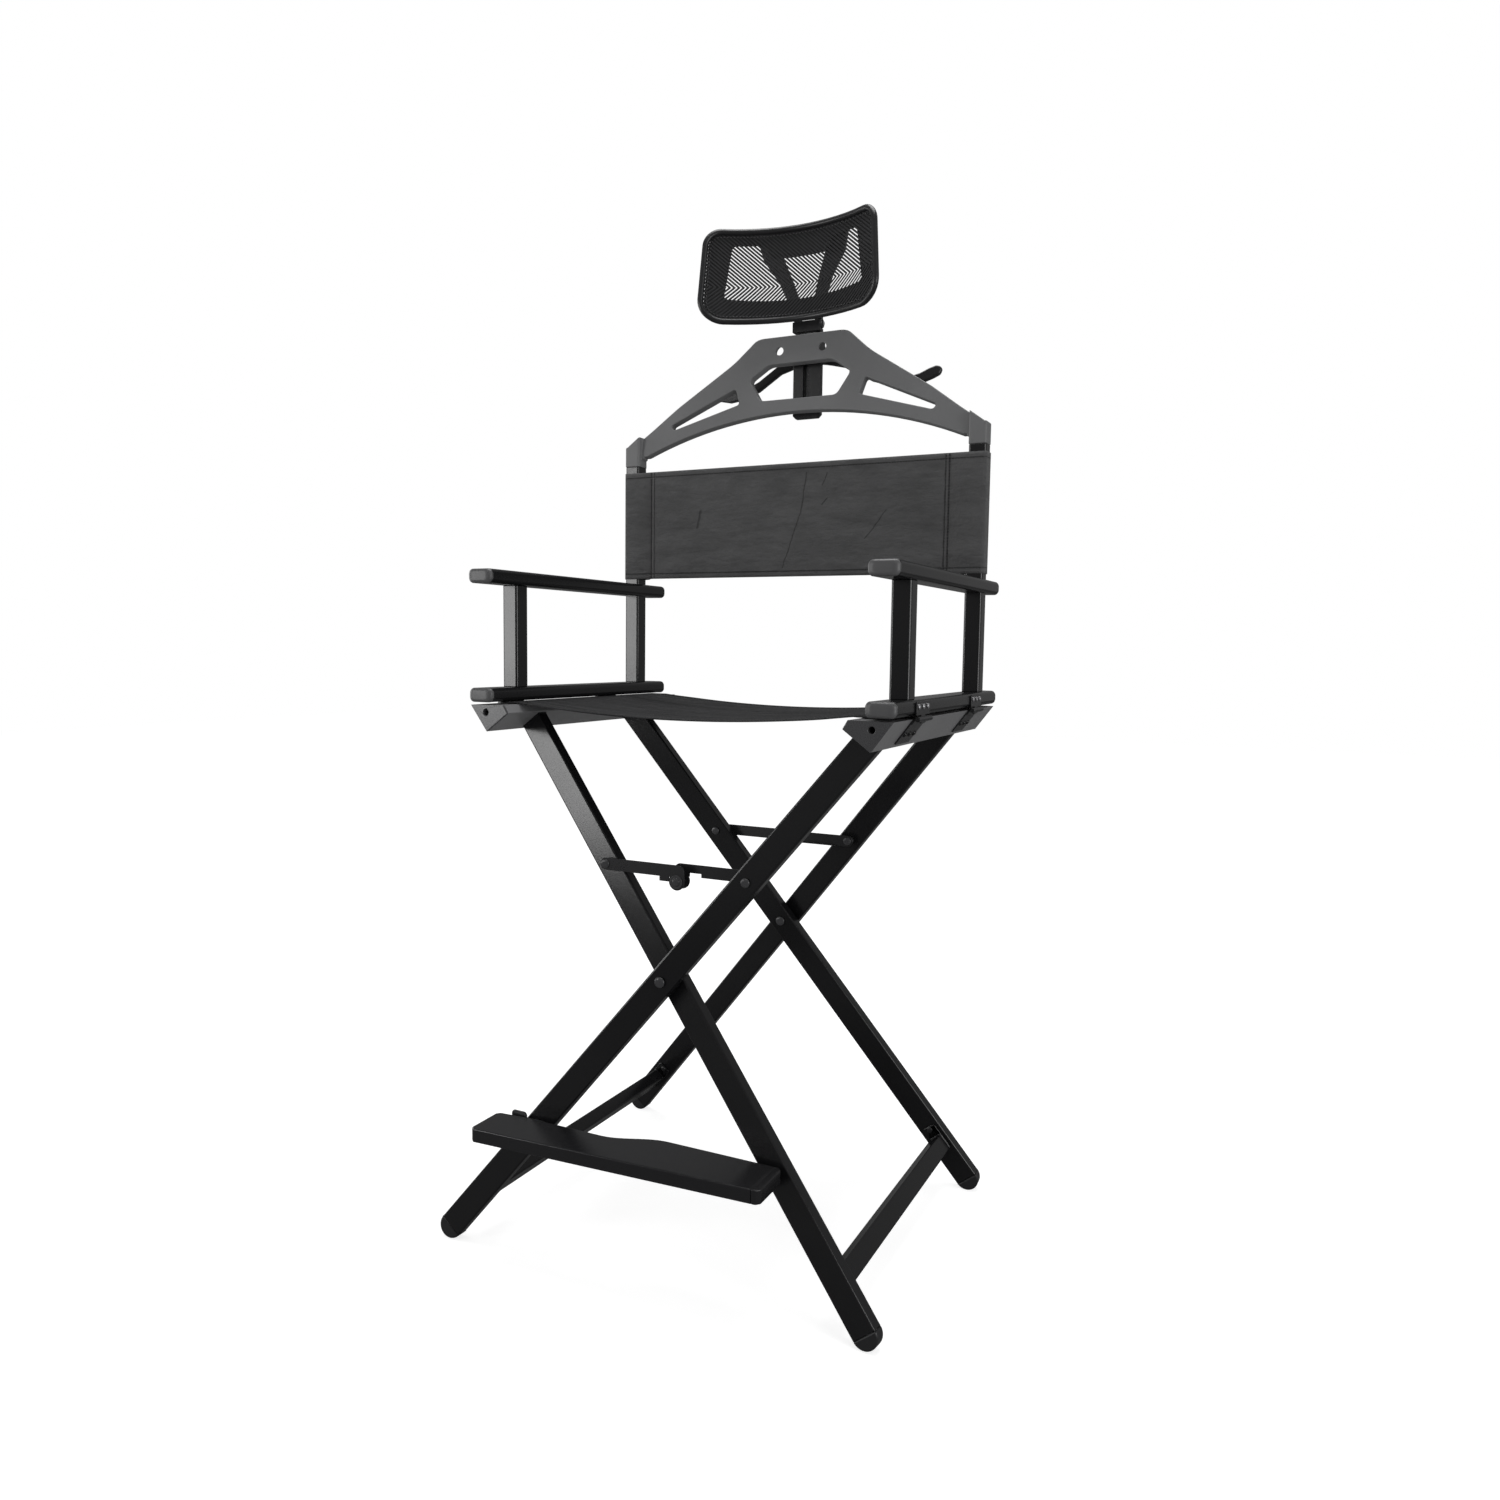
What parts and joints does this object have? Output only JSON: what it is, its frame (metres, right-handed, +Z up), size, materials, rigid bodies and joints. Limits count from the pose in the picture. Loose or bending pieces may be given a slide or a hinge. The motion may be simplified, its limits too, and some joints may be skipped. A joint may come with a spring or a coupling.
{
  "type": "folding makeup chair",
  "caption": "Tall folding X-frame makeup chair with canvas seat and back, arm rails, footrest, lift-off head plate, adjustable mesh headrest and coat hanger.",
  "frame": {"origin": "on the floor, at the middle of the chair's overall box", "axes": "+Z up, the chair faces -Y, +X to the right as seen from in front"},
  "size_m": [0.6182, 0.578, 1.421],
  "materials": {
    "tube": "satin black powder coat",
    "bracket": "satin black",
    "hinge": "satin black plated steel",
    "rivet": "semi-gloss black",
    "steel": "plain zinc",
    "cap": "satin dark grey",
    "canvas": "charcoal woven polyester",
    "board": "satin near-black",
    "plate": "matt dark grey",
    "plastic": "satin black",
    "mesh": "black open mesh"
  },
  "bodies": {
    "left_side": {"left_arm_rail": "tube", "left_arm_caps": "cap", "left_front_post": "tube", "left_back_post": "tube", "left_seat_rail": "tube", "left_seat_caps": "cap", "left_upper_leaves": "hinge", "left_leaf_screws": "hinge", "left_seat_rod": "steel", "seat_canvas": "canvas", "back_canvas": "canvas"},
    "frame_a": {"left_bracket": "bracket", "left_bracket_caps": "cap", "left_lower_leaves": "hinge", "left_hinge_pins": "hinge", "front_leg_a": "tube", "rear_leg_a": "tube", "stretcher_a": "tube", "feet_a": "cap", "crossing_bolts": "rivet", "crossing_washers": "cap", "brace_rivets_a": "rivet", "stretcher_screws_a": "steel", "footrest_stud": "rivet"},
    "frame_b": {"right_bracket": "bracket", "right_bracket_caps": "cap", "right_lower_leaves": "hinge", "right_hinge_pins": "hinge", "front_leg_b": "tube", "rear_leg_b": "tube", "stretcher_b": "tube", "feet_b": "cap", "brace_rivets_b": "rivet", "stretcher_screws_b": "steel", "footrest_bracket": "hinge", "footrest_bolt": "steel"},
    "right_side": {"right_arm_rail": "tube", "right_arm_caps": "cap", "right_front_post": "tube", "right_back_post": "tube", "right_seat_rail": "tube", "right_seat_caps": "cap", "right_upper_leaves": "hinge", "right_leaf_screws": "hinge", "right_seat_rod": "steel"},
    "front_brace_a": {"front_link_a": "hinge", "front_knuckle_rivet": "rivet"},
    "front_brace_b": {"front_link_b": "hinge"},
    "rear_brace_a": {"rear_link_a": "hinge", "rear_knuckle_rivet": "rivet"},
    "rear_brace_b": {"rear_link_b": "hinge"},
    "footrest": {"footrest_board": "board", "footrest_end_cap": "board"},
    "head": {"head_plate": "plate", "plate_plug": "cap", "stem_holder": "plastic", "coat_hanger": "plastic"},
    "stem": {"headrest_stem": "plastic"},
    "headrest": {"headrest_frame": "plastic", "headrest_mesh": "mesh"}
  },
  "joints": [
    {"name": "fold", "type": "hinge", "parent": "left_side", "child": "frame_a", "pos_m": [-0.3031, 0.01125, 0.7184], "axis": [0, 1, 0], "range_deg": [0, 32], "deforming": ["seat_canvas", "back_canvas"]},
    {"name": "crossing", "type": "hinge", "parent": "frame_a", "child": "frame_b", "pos_m": [0, 0.01125, 0.381], "axis": [0, 1, 0], "range_deg": [-64, 0]},
    {"name": "right_bracket_hinge", "type": "hinge", "parent": "frame_b", "child": "right_side", "pos_m": [0.3031, 0.01125, 0.7184], "axis": [0, 1, 0], "range_deg": [0, 32]},
    {"name": "front_link_a_pivot", "type": "hinge", "parent": "frame_a", "child": "front_brace_a", "pos_m": [-0.10703, -0.15025, 0.51436], "axis": [0, 1, 0], "range_deg": [-119, 0]},
    {"name": "front_link_b_pivot", "type": "hinge", "parent": "frame_b", "child": "front_brace_b", "pos_m": [0.10703, -0.14125, 0.51436], "axis": [0, 1, 0], "range_deg": [0, 119]},
    {"name": "rear_link_a_pivot", "type": "hinge", "parent": "frame_a", "child": "rear_brace_a", "pos_m": [-0.10703, 0.17875, 0.51436], "axis": [0, 1, 0], "range_deg": [-119, 0]},
    {"name": "rear_link_b_pivot", "type": "hinge", "parent": "frame_b", "child": "rear_brace_b", "pos_m": [0.10703, 0.17375, 0.51436], "axis": [0, 1, 0], "range_deg": [0, 119]},
    {"name": "footrest_swing", "type": "hinge", "parent": "frame_b", "child": "footrest", "pos_m": [-0.16453, -0.22875, 0.176], "axis": [0, -1, 0], "range_deg": [0, 51]},
    {"name": "head_lift", "type": "slide", "parent": "left_side", "child": "head", "axis": [0, 0, 1], "range_m": [0, 0.06]},
    {"name": "headrest_height", "type": "slide", "parent": "head", "child": "stem", "axis": [0, 0, 1], "range_m": [-0.012, 0.05]},
    {"name": "headrest_tilt", "type": "hinge", "parent": "stem", "child": "headrest", "pos_m": [0, 0.24175, 1.29], "axis": [1, 0, 0], "range_deg": [-20, 15]}
  ],
  "couplings": [
    {"joint": "crossing", "follows": "fold", "ratio": -2},
    {"joint": "right_bracket_hinge", "follows": "fold", "ratio": 1},
    {"joint": "front_link_a_pivot", "follows": "fold", "ratio": -3.7016},
    {"joint": "front_link_b_pivot", "follows": "fold", "ratio": 3.7016},
    {"joint": "rear_link_a_pivot", "follows": "fold", "ratio": -3.7016},
    {"joint": "rear_link_b_pivot", "follows": "fold", "ratio": 3.7016}
  ]
}
